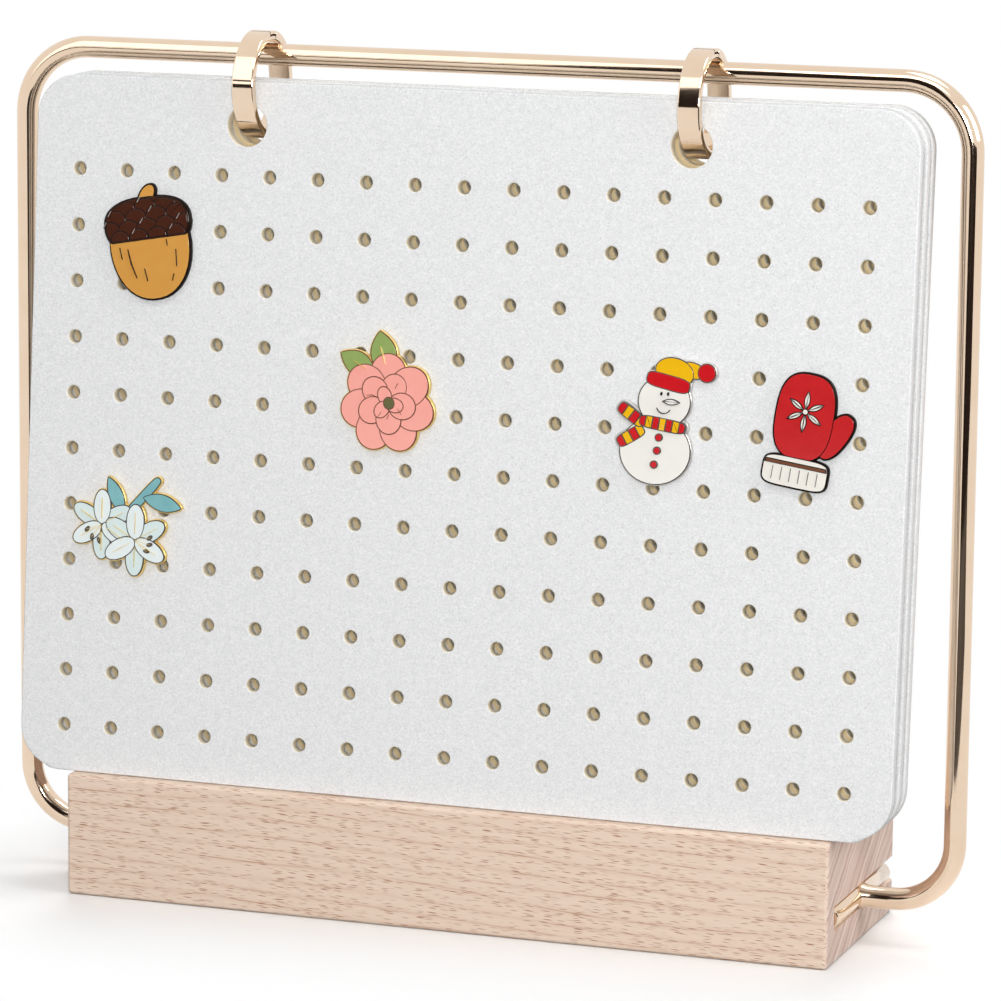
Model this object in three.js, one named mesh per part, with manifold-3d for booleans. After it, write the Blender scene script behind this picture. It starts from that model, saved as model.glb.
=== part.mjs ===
// A pin badge board. A beech block carries a bent wire frame and two hinged rings hang on the frame's bar.
// Three perforated felt pages stand on the block and lean back in the rings, with enamel pins on the front one.
// Millimetres, +X to the right, +Y to the back, +Z up. The origin is the centre of the block's underside.

import * as THREE from 'three';
import { mergeVertices } from 'three/addons/utils/BufferGeometryUtils.js';
import { RoundedBoxGeometry } from 'three/addons/geometries/RoundedBoxGeometry.js';
import Module from 'manifold-3d';

// Driving dimensions: the fit between pieces
const gap = 0.3;
const bearingGap = 0.15;

// Driving dimensions: the felt pages
const columns = 17;
const rows = 11;
const columnPitch = 12;
const rowPitch = 13.2;
const sideMargin = 11.2;
const topMargin = 22;
const bottomMargin = 10.6;
const pageCorner = 10;
const feltThickness = 3;
const pinHoleDiameter = 3.6;
const ringHoleDrop = 10.2;
const ringColumn = 3.5;
const clutchPlay = 0.5;
const pageRoom = 2;
const pageLean = 4.8;

// Driving dimensions: the rings. Turns are in degrees.
const ringBand = 2.1;
const ringWidth = 5.3;
const ringRoom = 1.8;
const ringSwing = 28;
const stackAhead = 1.7;
const hingeTurn = 123;
const claspTurn = 0;
const claspLap = 17;
const lapRoot = 2;
const knuckleDiameter = 2.7;
const tongueWidth = 1.7;
const hingePinDiameter = 0.9;

// Driving dimensions: the wire frame and the block
const wireDiameter = 5.2;
const legClearance = 6;
const topBend = 16;
const bottomBend = 14;
const footReach = 22;
const footHeight = 10.7;
const footLength = 45;
const footInset = 6;
const footSink = 1.6;
const blockHeight = 29.4;
const blockDepth = 57;
const blockEdge = 1.2;

// Driving dimensions: the badges
const plateThickness = 1.5;
const plateRim = 0.5;
const postDiameter = 1.2;
const clutchDiameter = 8;
const clutchThickness = 2.2;
const clutchShoulder = 0.9;
const clutchTaper = 1.2;

// Facets on round pieces
const wireSides = 10;
const bendSteps = 5;
const ringStep = 17;
const knuckleSides = 8;
const ovalSides = 12;
const leafSteps = 4;
const cornerSteps = 3;
const holeSides = { front: 5, middle: 3, back: 3 };
const ringHoleSides = 12;
const holeTurn = 0.3;
const weld = 1e-4;

// The stack of pages, measured from the rings' centre line: each page's back face
const lean = THREE.MathUtils.degToRad(pageLean);
const pageWidth = (columns - 1) * columnPitch + 2 * sideMargin;
const clutchRoom = gap + clutchThickness + clutchPlay;
const stackDepth = 3 * feltThickness + clutchRoom + pageRoom;
const frontFace = -stackDepth / 2 - stackAhead;
const backFaces = {
  front: frontFace + feltThickness,
  middle: frontFace + 2 * feltThickness + clutchRoom,
  back: frontFace + stackDepth,
};
const pageRise = (back) => (back - backFaces.front) * Math.tan(lean);

// The rings reach round the front page, and the bar hangs them a little ahead of itself
const ringInner = ringRoom - frontFace;
const ringOuter = ringInner + ringBand;
const ringMiddle = ringInner + ringBand / 2;
const ringOffset = ((columns - 1) / 2 - ringColumn) * columnPitch;
const wireRadius = wireDiameter / 2;
const swing = THREE.MathUtils.degToRad(ringSwing);
const barReach = ringInner - wireRadius - gap;

// The ring holes are just large enough for the ring in every page, at the height where the ring passes it
const crossings = Object.values(backFaces).map((back) => {
  const front = back - feltThickness;
  const farthest = Math.max(Math.abs(front), Math.abs(back));
  const nearest = front < 0 && back > 0 ? 0 : Math.min(Math.abs(front), Math.abs(back));
  const top = -Math.sqrt(ringInner ** 2 - farthest ** 2) - pageRise(back);
  const bottom = -Math.sqrt(ringOuter ** 2 - nearest ** 2) - pageRise(back);
  return { top, bottom };
});
const crossingTop = Math.max(...crossings.map(({ top }) => top));
const crossingBottom = Math.min(...crossings.map(({ bottom }) => bottom));
const ringHoleHeight = (crossingTop + crossingBottom) / 2;
const ringHoleDiameter = 2 * (Math.hypot((crossingTop - crossingBottom) / 2, ringWidth / 2) + gap);

// Each page stands on the block, so the rings' height follows from the front page
const frontBottom = ringHoleHeight + ringHoleDrop - topMargin - (rows - 1) * rowPitch - bottomMargin;
const standingEdge = frontBottom * Math.cos(lean) - backFaces.front * Math.sin(lean);
const ringHeight = blockHeight + gap - standingEdge;
const pageBottom = (back) => frontBottom + pageRise(back);
const rowHeight = (back, row) => pageBottom(back) + bottomMargin + (rows - 1 - row) * rowPitch;
const columnPlace = (column) => (column - (columns - 1) / 2) * columnPitch;
const ringAhead = -barReach * Math.sin(swing);

// The frame and the block
const barHeight = ringHeight + barReach * Math.cos(swing);
const legPlace = pageWidth / 2 + legClearance + wireRadius;
const blockLength = 2 * (legPlace - footReach);
const footPlace = blockLength / 2 - footSink;
const footFront = -blockDepth / 2 + footInset;

// Materials
const finish = (color, roughness, metalness) => new THREE.MeshStandardMaterial({ color, roughness, metalness });
const beech = finish('#d9bb9e', 0.55, 0);
const goldPlate = finish('#d9b48c', 0.2, 1);
const felt = finish('#ecedeb', 0.95, 0);
const badgeBrass = finish('#c9a468', 0.3, 1);
const nickel = finish('#c8c6c0', 0.3, 1);
const rubber = finish('#33312f', 0.8, 0);

// Joining and cutting
const wasm = await Module();
wasm.setup();

function solidFrom(geometry) {
  const bare = geometry.clone();
  bare.deleteAttribute('normal');
  bare.deleteAttribute('uv');
  const merged = mergeVertices(bare, weld);
  const mesh = new wasm.Mesh({
    numProp: 3,
    vertProperties: new Float32Array(merged.attributes.position.array),
    triVerts: new Uint32Array(merged.index.array),
  });
  return new wasm.Manifold(mesh);
}

function geometryFrom(solid) {
  const mesh = solid.getMesh();
  const geometry = new THREE.BufferGeometry();
  geometry.setAttribute('position', new THREE.BufferAttribute(mesh.vertProperties, 3));
  geometry.setIndex(new THREE.BufferAttribute(mesh.triVerts, 1));
  geometry.computeVertexNormals();
  return geometry;
}

const joined = (geometries) => geometries.map(solidFrom).reduce((whole, part) => whole.add(part));

function cutBy(solid, geometries) {
  return geometries.map(solidFrom).reduce((left, tool) => left.subtract(tool), solid);
}

function piece(name, geometry, material) {
  const mesh = new THREE.Mesh(geometry, material);
  mesh.name = name;
  return mesh;
}

// The beech block, with a groove in each end that is closed in front and open at the back
function block() {
  const body = new RoundedBoxGeometry(blockLength, blockDepth, blockHeight, 1, blockEdge);
  body.translate(0, 0, blockHeight / 2);
  const beyond = blockEdge + gap;
  const grooveWidth = footSink + wireRadius + gap + beyond;
  const grooveFront = footFront - gap;
  const grooveDepth = blockDepth / 2 - grooveFront + beyond;
  const grooves = [-1, 1].map((side) => {
    const groove = new THREE.BoxGeometry(grooveWidth, grooveDepth, wireDiameter + 2 * gap);
    const x = blockLength / 2 + beyond - grooveWidth / 2;
    return groove.translate(side * x, grooveFront + grooveDepth / 2, footHeight);
  });
  return piece('base_block', geometryFrom(cutBy(solidFrom(body), grooves)), beech);
}

// A polyline path whose own points are the only stations of a sweep along it
class BentWire extends THREE.Curve {
  constructor(points) {
    super();
    this.points = points;
  }

  getPointAt(share) {
    return this.points[Math.round(share * (this.points.length - 1))].clone();
  }

  getTangentAt(share) {
    const last = this.points.length - 1;
    const index = Math.round(share * last);
    const before = this.points[Math.max(index - 1, 0)];
    const after = this.points[Math.min(index + 1, last)];
    return after.clone().sub(before).normalize();
  }
}

function bend(centreX, centreZ, radius, startTurn) {
  const points = [];
  for (let step = 0; step <= bendSteps; step += 1) {
    const turn = startTurn - (step / bendSteps) * (Math.PI / 2);
    points.push(new THREE.Vector3(centreX + radius * Math.cos(turn), 0, centreZ + radius * Math.sin(turn)));
  }
  return points;
}

const rodAlongY = (radius, length) => new THREE.CylinderGeometry(radius, radius, length, wireSides);

// One wire: from the left foot outwards, up, across the top, down and in to the right foot
function wireFrame() {
  const points = [
    new THREE.Vector3(-footPlace, 0, footHeight),
    ...bend(-legPlace + bottomBend, footHeight + bottomBend, bottomBend, -Math.PI / 2),
    ...bend(-legPlace + topBend, barHeight - topBend, topBend, Math.PI),
    ...bend(legPlace - topBend, barHeight - topBend, topBend, Math.PI / 2),
    ...bend(legPlace - bottomBend, footHeight + bottomBend, bottomBend, 0),
    new THREE.Vector3(footPlace, 0, footHeight),
  ];
  const section = new THREE.Shape().absarc(0, 0, wireRadius, 0, 2 * Math.PI);
  const wire = new THREE.ExtrudeGeometry(section, {
    extrudePath: new BentWire(points),
    steps: points.length - 1,
    curveSegments: wireSides / 2,
    bevelEnabled: false,
  });
  const saddleLength = 2 * wireDiameter;
  const saddles = [-1, 1].map((side) => {
    const saddle = rodAlongY(wireRadius + gap, saddleLength);
    return saddle.translate(side * footPlace, 0, footHeight);
  });
  return piece('wire_frame', geometryFrom(cutBy(solidFrom(wire), saddles)), goldPlate);
}

// The cross rod that each leg of the wire ends on, lying in the block's groove
function footRod(name, side) {
  const rod = piece(name, rodAlongY(wireRadius, footLength), goldPlate);
  rod.position.set(side * footPlace, footFront + footLength / 2, footHeight);
  return rod;
}

// Ring pieces are drawn from the side: turns count in degrees from the ring's top towards the back
function ringPoint(radius, turn) {
  const angle = THREE.MathUtils.degToRad(turn);
  return new THREE.Vector2(radius * Math.sin(angle), radius * Math.cos(angle));
}

const sideways = new THREE.Matrix4().makeBasis(
  new THREE.Vector3(0, 1, 0),
  new THREE.Vector3(0, 0, 1),
  new THREE.Vector3(1, 0, 0),
);

function ringBandPiece(fromTurn, toTurn, inner, outer) {
  const sweep = toTurn - fromTurn;
  const steps = Math.max(2, Math.round(sweep / ringStep));
  const turns = Array.from({ length: steps + 1 }, (_, step) => fromTurn + (sweep * step) / steps);
  const outerArc = turns.map((turn) => ringPoint(outer, turn));
  const innerArc = turns.map((turn) => ringPoint(inner, turn)).reverse();
  const shape = new THREE.Shape([...outerArc, ...innerArc]);
  const band = new THREE.ExtrudeGeometry(shape, { depth: ringWidth, bevelEnabled: false });
  band.translate(0, 0, -ringWidth / 2);
  return band.applyMatrix4(sideways);
}

function hingeBarrel(radius, length, offset = 0) {
  const barrel = new THREE.CylinderGeometry(radius, radius, length, knuckleSides).rotateZ(Math.PI / 2);
  const axis = ringPoint(ringMiddle, hingeTurn);
  return barrel.translate(offset, axis.x, axis.y);
}

const fullTurn = 360;
const gapTurn = THREE.MathUtils.radToDeg(gap / ringMiddle);
const outerClasp = claspTurn - claspLap / 2;
const innerClasp = claspTurn + claspLap / 2;
const knuckleRadius = knuckleDiameter / 2;
const forkSlot = tongueWidth + 2 * bearingGap;
const pinBore = () => hingeBarrel(hingePinDiameter / 2 + bearingGap, 2 * ringWidth);

// The hook of a ring: from the hinge under and round the front to the clasp at the top
function ringHook(name) {
  const lapStart = outerClasp - lapRoot;
  const hook = joined([
    ringBandPiece(hingeTurn, outerClasp + fullTurn, ringInner, ringOuter),
    ringBandPiece(lapStart + fullTurn, innerClasp + fullTurn, ringInner, ringMiddle - gap / 2),
    hingeBarrel(knuckleRadius, ringWidth),
  ]);
  const cuts = [hingeBarrel(knuckleRadius + gap, forkSlot), pinBore()];
  return piece(name, geometryFrom(cutBy(hook, cuts)), goldPlate);
}

// The gate of a ring: the back of the band, with a tongue in the hook's fork and a lap over the hook's tip
function ringGate(name) {
  const lapEnd = innerClasp + gapTurn + lapRoot;
  const lap = ringBandPiece(outerClasp + gapTurn, lapEnd, ringMiddle + gap / 2, ringOuter);
  const arm = ringBandPiece(innerClasp + gapTurn, hingeTurn, ringInner, ringOuter);
  const cheekWidth = ringWidth / 2;
  const cheekOffset = tongueWidth / 2 + cheekWidth / 2;
  const cheeks = [-1, 1].map((side) => hingeBarrel(knuckleRadius + gap, cheekWidth, side * cheekOffset));
  const armed = cutBy(joined([lap, arm]), cheeks);
  const gate = armed.add(solidFrom(hingeBarrel(knuckleRadius, tongueWidth)));
  return piece(name, geometryFrom(cutBy(gate, [pinBore()])), goldPlate);
}

function ring(side) {
  const group = new THREE.Group();
  group.position.set((side === 'left' ? -1 : 1) * ringOffset, ringAhead, ringHeight);
  const pin = hingeBarrel(hingePinDiameter / 2, ringWidth - 2 * bearingGap);
  group.add(ringHook(`${side}_ring_hook`), ringGate(`${side}_ring_gate`));
  group.add(piece(`${side}_ring_hinge_pin`, pin, goldPlate));
  return group;
}

// A round hole drawn with few sides, with the area of the true circle, turned so that no corners line up
function holePath(x, y, diameter, sides) {
  const sector = (2 * Math.PI) / sides;
  const radius = (diameter / 2) * Math.sqrt(sector / Math.sin(sector));
  const corners = Array.from({ length: sides }, (_, side) => {
    const angle = sector * (side + holeTurn);
    return new THREE.Vector2(x + radius * Math.cos(angle), y + radius * Math.sin(angle));
  });
  return new THREE.Path(corners);
}

function pageOutline(bottom, top) {
  const x = pageWidth / 2 - pageCorner;
  const quarter = Math.PI / 2;
  const outline = new THREE.Shape();
  outline.absarc(x, top - pageCorner, pageCorner, 0, quarter);
  outline.absarc(-x, top - pageCorner, pageCorner, quarter, 2 * quarter);
  outline.absarc(-x, bottom + pageCorner, pageCorner, 2 * quarter, 3 * quarter);
  outline.absarc(x, bottom + pageCorner, pageCorner, 3 * quarter, 4 * quarter);
  return outline;
}

// A felt page, drawn in the leaning plane: x across, y up from the rings' centre line
function page(place) {
  const back = backFaces[place];
  const top = rowHeight(back, 0) + topMargin;
  const outline = pageOutline(pageBottom(back), top);
  for (let row = 0; row < rows; row += 1) {
    for (let column = 0; column < columns; column += 1) {
      const hole = holePath(columnPlace(column), rowHeight(back, row), pinHoleDiameter, holeSides[place]);
      outline.holes.push(hole);
    }
  }
  for (const side of [-1, 1]) {
    outline.holes.push(holePath(side * ringOffset, top - ringHoleDrop, ringHoleDiameter, ringHoleSides));
  }
  const sheet = new THREE.ExtrudeGeometry(outline, {
    depth: feltThickness,
    bevelEnabled: false,
    curveSegments: cornerSteps,
  });
  const mesh = piece(`page_${place}`, sheet, felt);
  mesh.rotation.x = Math.PI / 2;
  mesh.position.y = back;
  return mesh;
}

// Shapes that badge plates are made of. Each has a centre, half sizes and a turn in degrees.
function oval(x, y, halfWidth, halfHeight, turn = 0, power = 2) {
  return { x, y, halfWidth, halfHeight, turn, power };
}

function leaf(x, y, halfLength, halfWidth, turn) {
  return { x, y, halfWidth: halfLength, halfHeight: halfWidth, turn };
}

function wheel(count, x, y, reach, halfLength, halfWidth) {
  return Array.from({ length: count }, (_, index) => {
    const turn = 90 + (fullTurn * index) / count;
    const angle = THREE.MathUtils.degToRad(turn);
    return oval(x + reach * Math.cos(angle), y + reach * Math.sin(angle), halfLength, halfWidth, turn);
  });
}

const bent = (value, power) => Math.sign(value) * Math.abs(value) ** (2 / power);

function ovalOutline({ halfWidth, halfHeight, power }) {
  return Array.from({ length: ovalSides }, (_, side) => {
    const angle = (2 * Math.PI * (side + 0.5)) / ovalSides;
    const x = (halfWidth + plateRim) * bent(Math.cos(angle), power);
    return new THREE.Vector2(x, (halfHeight + plateRim) * bent(Math.sin(angle), power));
  });
}

function leafOutline({ halfWidth, halfHeight }) {
  return Array.from({ length: 4 * leafSteps }, (_, index) => {
    const side = index < 2 * leafSteps ? 1 : -1;
    const along = side * (1 - (index % (2 * leafSteps)) / leafSteps);
    const across = side * (halfHeight + plateRim) * (1 - along ** 2);
    return new THREE.Vector2((halfWidth + plateRim) * along, across);
  });
}

function plate(shapes, tilt) {
  const pads = shapes.map((pad) => {
    const outline = new THREE.Shape(pad.power ? ovalOutline(pad) : leafOutline(pad));
    const extruded = new THREE.ExtrudeGeometry(outline, { depth: plateThickness, bevelEnabled: false });
    extruded.rotateZ(THREE.MathUtils.degToRad(pad.turn));
    return extruded.translate(pad.x, pad.y, 0);
  });
  return geometryFrom(joined(pads)).rotateZ(THREE.MathUtils.degToRad(tilt));
}

// Each badge: where its middle lies on the hole grid, which hole its post goes through, and its plate's shapes
const badges = {
  acorn: {
    column: 1.585,
    row: 1.27,
    hole: [1, 1],
    tilt: 10,
    shapes: [
      oval(0, -4, 9.4, 9.4, 0, 2.3),
      oval(0, 4.8, 10.6, 6, 0, 2.5),
      oval(0.7, 11.3, 1.5, 2.7, -40),
    ],
  },
  blossom: {
    column: 6.6,
    row: 3.66,
    hole: [6, 4],
    tilt: 0,
    shapes: [
      ...wheel(7, 0.5, -2.2, 6.6, 4.8, 4.3),
      leaf(-0.8, 9.2, 5.2, 3, 102),
      leaf(-7, 6.6, 4.8, 2.6, 152),
    ],
  },
  spray: {
    column: 1.25,
    row: 6.29,
    hole: [1, 6],
    tilt: 0,
    shapes: [
      ...wheel(6, -6, -0.4, 4.2, 3.9, 2),
      ...wheel(6, 2.6, -3.6, 4.3, 4, 2.1),
      oval(4, 6.4, 6.4, 0.9, 48, 4),
      leaf(9.2, 5.6, 4.8, 1.8, -12),
      leaf(-2.6, 6.6, 4.6, 1.6, 116),
    ],
  },
  snowman: {
    column: 12.24,
    row: 3.8,
    hole: [12, 4],
    tilt: 0,
    shapes: [
      oval(-2.2, -7.2, 8.2, 7.4),
      oval(-0.4, 4.2, 6, 5.6),
      oval(-0.6, -1, 5.6, 1.5, -8, 4),
      oval(-8, 0.8, 3.6, 1.5, -34, 4),
      oval(-8, -4, 3.6, 1.5, 32, 4),
      oval(0.4, 8.6, 5, 1.5, -12, 4),
      oval(1.8, 11, 4.4, 3, -12),
      oval(6, 11.6, 3, 1.6, -14),
      oval(9.4, 11.2, 1.9, 1.9),
    ],
  },
  mitten: {
    column: 15,
    row: 3.86,
    hole: [15, 4],
    tilt: -8,
    shapes: [
      oval(-1, 3.4, 6.6, 9.6, 0, 2.8),
      oval(6.8, 0.4, 2.6, 5.6, -28, 2.4),
      oval(-1, -9.4, 7.4, 3.2, 0, 5),
    ],
  },
};

const clutchBore = postDiameter / 2 + bearingGap;
const clutchProfile = [
  new THREE.Vector2(clutchBore, 0),
  new THREE.Vector2(clutchDiameter / 2, 0),
  new THREE.Vector2(clutchDiameter / 2, clutchThickness - clutchShoulder),
  new THREE.Vector2(clutchDiameter / 2 - clutchTaper, clutchThickness),
  new THREE.Vector2(clutchBore, clutchThickness),
  new THREE.Vector2(clutchBore, 0),
];

// A badge: its plate in front of the page, its post through a pin hole, and its clutch behind the page
function badge(name, { column, row, hole, tilt, shapes }) {
  const group = new THREE.Group();
  const front = piece(`${name}_badge_plate`, plate(shapes, tilt), badgeBrass);
  front.rotation.x = Math.PI / 2;
  front.position.set(columnPlace(column), frontFace - gap, rowHeight(backFaces.front, row));

  const postStart = frontFace - gap + bearingGap;
  const postEnd = backFaces.front + gap + clutchThickness;
  const postLength = postEnd - postStart;
  const holeX = columnPlace(hole[0]);
  const holeZ = rowHeight(backFaces.front, hole[1]);
  const postGeometry = new THREE.CylinderGeometry(postDiameter / 2, postDiameter / 2, postLength, knuckleSides);
  const post = piece(`${name}_badge_post`, postGeometry, nickel);
  post.position.set(holeX, postStart + postLength / 2, holeZ);

  const clutch = piece(`${name}_badge_clutch`, new THREE.LatheGeometry(clutchProfile, knuckleSides), rubber);
  clutch.position.set(holeX, backFaces.front + gap, holeZ);
  group.add(front, post, clutch);
  return group;
}

// The leaning stack of pages and badges, turned about the rings' centre line
function leaningStack() {
  const stack = new THREE.Group();
  stack.position.set(0, ringAhead, ringHeight);
  stack.rotation.x = -lean;
  stack.add(...Object.keys(backFaces).map(page));
  stack.add(...Object.entries(badges).map(([name, layout]) => badge(name, layout)));
  return stack;
}

const board = new THREE.Group();
board.add(block(), wireFrame(), footRod('left_foot_rod', -1), footRod('right_foot_rod', 1));
board.add(ring('left'), ring('right'), leaningStack());

export default board;
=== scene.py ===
import math
from itertools import product

import bpy
from mathutils import Matrix, Vector


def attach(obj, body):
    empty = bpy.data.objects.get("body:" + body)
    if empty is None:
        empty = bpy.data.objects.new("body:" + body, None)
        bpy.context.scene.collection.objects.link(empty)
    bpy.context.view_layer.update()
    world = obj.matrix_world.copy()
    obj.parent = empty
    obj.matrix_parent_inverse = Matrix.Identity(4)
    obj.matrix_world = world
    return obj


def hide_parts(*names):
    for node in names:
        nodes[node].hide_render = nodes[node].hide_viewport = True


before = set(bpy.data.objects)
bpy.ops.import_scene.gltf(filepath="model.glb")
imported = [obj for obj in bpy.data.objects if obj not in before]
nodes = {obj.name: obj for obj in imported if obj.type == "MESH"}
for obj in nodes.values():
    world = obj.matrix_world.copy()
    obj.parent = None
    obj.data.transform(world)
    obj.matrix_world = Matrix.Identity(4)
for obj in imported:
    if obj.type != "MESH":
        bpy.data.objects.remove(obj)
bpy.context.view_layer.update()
mm = 0.001
print("frame loaded:", len(nodes), "CAD nodes")


# colours, nodes and materials

def linear(hexColour):
    channels = [int(hexColour[i:i + 2], 16) / 255 for i in (1, 3, 5)]
    return [c / 12.92 if c <= 0.04045 else ((c + 0.055) / 1.055) ** 2.4 for c in channels] + [1.0]


def addNode(tree, kind, links=None, **settings):
    # each link is a plain value, a socket, or a node that stands for its first output
    node = tree.nodes.new("ShaderNode" + kind)
    for key, value in settings.items():
        setattr(node, key, value)
    for key, value in (links or {}).items():
        if isinstance(value, bpy.types.Node):
            value = value.outputs[0]
        if isinstance(value, bpy.types.NodeSocket):
            tree.links.new(value, node.inputs[key])
        else:
            node.inputs[key].default_value = value
    return node


def startMaterial(name, sockets):
    material = bpy.data.materials.new(name)
    material.use_nodes = True
    tree = material.node_tree
    tree.nodes.clear()
    shader = addNode(tree, "BsdfPrincipled", sockets)
    addNode(tree, "OutputMaterial", {"Surface": shader})
    return material, tree, shader


def blendColours(tree, factor, first, second):
    mix = addNode(tree, "Mix", {0: factor, 6: first, 7: second}, data_type="RGBA")
    return mix.outputs[2]


def coat(tree, shader, look, colour, height, invert=False):
    # colour, and a small relief whose lift is in millimetres
    tree.links.new(colour, shader.inputs["Base Color"])
    bump = addNode(tree, "Bump",
                   {"Height": height, "Strength": look["bump"], "Distance": look["lift"] * mm},
                   invert=invert)
    tree.links.new(bump.outputs[0], shader.inputs["Normal"])


def cloudedMaterial(name, look, sockets):
    # one noise mixes two colours and lifts the surface a little
    material, tree, shader = startMaterial(name, {"Roughness": look["roughness"], **sockets})
    place = addNode(tree, "TexCoord").outputs["Object"]
    cloud = addNode(tree, "TexNoise",
                    {"Vector": place, "Scale": 1 / (look["cloud"] * mm), "Detail": look["detail"]})
    colour = blendColours(tree, cloud, linear(look["colour"]), linear(look["other"]))
    coat(tree, shader, look, colour, cloud)
    return material, tree, shader, cloud


# growth layers of the block, the same on every face, rising to the back
layerSpacing = 2.7 * mm
growthLayers = Vector((0.03, -0.57, 0.82)) / layerSpacing


# beech, planed and oiled: warm pink-tan, thin broken growth lines and many short brown pore flecks
def beechPlanedOiled():
    look = {"pale": "#f2dfce", "warm": "#e3c8b2", "line": "#bf8d6d", "fleck": "#9c5528", "slope": -2,
            "streakCell": (5.6, 0.28), "wanderCell": (80, 10), "wander": 1.7, "lineCore": 0.01,
            "lineEdge": 0.05, "lineDepth": 0.75, "gapCell": (13, 1.3), "gapLow": 0.44, "gapHigh": 0.66,
            "gapDepth": 0.05, "haloReach": 0.3, "haloDepth": 0.16, "fleckLength": 2.3, "fleckWidth": 0.16,
            "fleckSpacing": 1.7, "fleckCore": 0.3, "fleckEdge": 0.64, "fleckLeast": 0.25, "roughness": 0.5,
            "bump": 0.15, "lift": 0.08}
    material, tree, shader = startMaterial("beechPlanedOiled", {"Roughness": look["roughness"], "IOR": 1.5})
    place = addNode(tree, "TexCoord").outputs["Object"]

    def stretched(kind, cell, settings):
        # pattern drawn out along the grain, its cells given as length and width in millimetres
        length, width = cell
        size = (length * mm, width * mm, width * mm)
        turn = (0, -math.radians(look["slope"]), 0)
        along = addNode(tree, "Mapping",
                        {"Vector": place, "Scale": size, "Rotation": turn}, vector_type="TEXTURE")
        return addNode(tree, kind, {"Vector": along, "Scale": 1.0, **settings})

    # noise makes the growth layers wander and breaks them up
    layers = addNode(tree, "VectorMath", {0: place, 1: growthLayers}, operation="DOT_PRODUCT")
    wander = stretched("TexNoise", look["wanderCell"], {"Detail": 1.0})
    bent = addNode(tree, "Math",
                   {0: wander, 1: look["wander"], 2: layers.outputs["Value"]}, operation="MULTIPLY_ADD")
    off = addNode(tree, "Math", {0: bent, 1: 0.5}, operation="PINGPONG")
    thin = addNode(tree, "MapRange",
                   {0: off, 1: look["lineCore"], 2: look["lineEdge"], 3: look["lineDepth"], 4: 0.0},
                   interpolation_type="SMOOTHSTEP")
    gaps = stretched("TexNoise", look["gapCell"], {"Detail": 2.0})
    kept = addNode(tree, "MapRange",
                   {0: gaps, 1: look["gapLow"], 2: look["gapHigh"], 3: look["gapDepth"], 4: 1.0})
    halo = addNode(tree, "MapRange", {0: off, 1: 0.0, 2: look["haloReach"], 3: look["haloDepth"], 4: 0.0})
    lines = addNode(tree, "Math", {0: thin, 1: kept, 2: halo}, operation="MULTIPLY_ADD")
    streaks = stretched("TexNoise", look["streakCell"], {"Detail": 3.0})
    tone = blendColours(tree, streaks, linear(look["pale"]), linear(look["warm"]))
    lined = blendColours(tree, lines, tone, linear(look["line"]))
    # each fleck is the core of a cell, some paler than others
    spacing = look["fleckSpacing"]
    cells = stretched("TexVoronoi", (look["fleckLength"] * spacing, look["fleckWidth"] * spacing),
                      {"Randomness": 1.0})
    dash = addNode(tree, "MapRange",
                   {0: cells.outputs["Distance"], 1: look["fleckCore"] / spacing,
                    2: look["fleckEdge"] / spacing, 3: 1.0, 4: 0.0}, interpolation_type="SMOOTHSTEP")
    shade = addNode(tree, "SeparateColor", {0: cells.outputs["Color"]})
    depth = addNode(tree, "MapRange", {0: shade, 1: 0.1, 2: 0.9, 3: look["fleckLeast"], 4: 1.0})
    flecks = addNode(tree, "Math", {0: dash, 1: depth}, operation="MULTIPLY")
    colour = blendColours(tree, flecks, lined, linear(look["fleck"]))
    coat(tree, shader, look, colour, flecks, invert=True)
    return material


# beech sawn across: greyer pink, uneven growth rings that lean to the back, crossed by fine pores
def beechEndGrain():
    look = {"pale": "#f6e1d5", "ring": "#c5a293", "wanderCell": 9, "wander": 0.8, "ringScale": 1.7,
            "ringLow": 0.36, "ringHigh": 0.64, "pore": 0.5, "poreLow": 0.3, "poreHigh": 0.7, "poreShare": 0.7,
            "roughness": 0.62, "bump": 0.3, "lift": 0.1}
    material, tree, shader = startMaterial("beechEndGrainSawn", {"Roughness": look["roughness"], "IOR": 1.5})
    place = addNode(tree, "TexCoord").outputs["Object"]
    layers = addNode(tree, "VectorMath", {0: place, 1: growthLayers}, operation="DOT_PRODUCT")
    wander = addNode(tree, "TexNoise",
                     {"Vector": place, "Scale": 1 / (look["wanderCell"] * mm), "Detail": 1.0})
    bent = addNode(tree, "Math",
                   {0: wander, 1: look["wander"], 2: layers.outputs["Value"]}, operation="MULTIPLY_ADD")
    along = addNode(tree, "CombineXYZ", {0: bent})
    rings = addNode(tree, "TexNoise", {"Vector": along, "Scale": look["ringScale"], "Detail": 2.0})
    clear = addNode(tree, "MapRange", {0: rings, 1: look["ringLow"], 2: look["ringHigh"]})
    pores = addNode(tree, "TexNoise", {"Vector": place, "Scale": 1 / (look["pore"] * mm), "Detail": 2.0})
    grain = addNode(tree, "MapRange",
                    {0: pores, 1: look["poreLow"], 2: look["poreHigh"], 3: look["poreShare"], 4: 1.0})
    share = addNode(tree, "Math", {0: clear, 1: grain}, operation="MULTIPLY")
    colour = blendColours(tree, share, linear(look["pale"]), linear(look["ring"]))
    coat(tree, shader, look, colour, share, invert=True)
    return material


# metals: polished plating and struck metal; a fine unevenness breaks up the mirror
def metalPlated(name, colour, dull, roughness, wave=2.5, lift=0.01):
    look = {"colour": colour, "other": dull, "cloud": wave, "detail": 2.0, "bump": 0.15, "lift": lift,
            "roughness": roughness, "smoothShare": 0.8, "wornShare": 1.3}
    material, tree, shader, cloud = cloudedMaterial(name, look, {"Metallic": 1.0})
    worn = addNode(tree, "MapRange",
                   {0: cloud, 3: roughness * look["smoothShare"], 4: roughness * look["wornShare"]})
    tree.links.new(worn.outputs[0], shader.inputs["Roughness"])
    return material


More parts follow.
